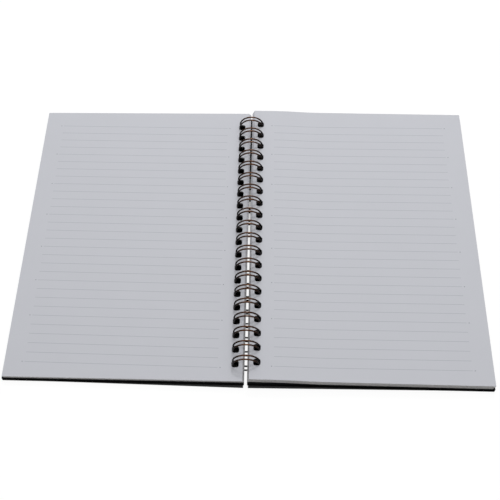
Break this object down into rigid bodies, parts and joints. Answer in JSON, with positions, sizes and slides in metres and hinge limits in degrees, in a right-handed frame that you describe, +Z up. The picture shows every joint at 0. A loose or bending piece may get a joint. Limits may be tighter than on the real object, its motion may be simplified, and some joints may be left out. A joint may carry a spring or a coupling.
{
  "type": "wire-bound notebook",
  "caption": "Open twin-loop wire-bound notebook lying flat, with black board covers and ruled pages that turn on the loops.",
  "frame": {"origin": "on the table, under the middle of the open notebook's bounding box", "axes": "+X to the reader's right, across the open pages; +Y to the head of the pages, along the loops' axis; +Z up"},
  "size_m": [0.261, 0.183, 0.0149],
  "materials": {
    "board": "matte black covering paper",
    "paper": "smooth cool-white writing paper",
    "wire": "dark bronze coating, semi-gloss"
  },
  "bodies": {
    "back": {"back_cover": "board", "wire_binding": "wire"},
    "right_leaves": {"right_pages": "paper"},
    "front": {"front_cover": "board"},
    "left_leaves": {"left_pages": "paper"}
  },
  "joints": [
    {"name": "front_cover_hinge", "type": "hinge", "parent": "back", "child": "front", "pos_m": [0, 0, 0.00745], "axis": [0, 1, 0], "range_deg": [0, 180.5]},
    {"name": "left_pages_turn", "type": "hinge", "parent": "front", "child": "left_leaves", "pos_m": [0, 0, 0.00745], "axis": [0, 1, 0], "range_deg": [0, 180]},
    {"name": "right_pages_turn", "type": "hinge", "parent": "back", "child": "right_leaves", "pos_m": [0, 0, 0.00745], "axis": [0, -1, 0], "range_deg": [0, 180.5]}
  ]
}
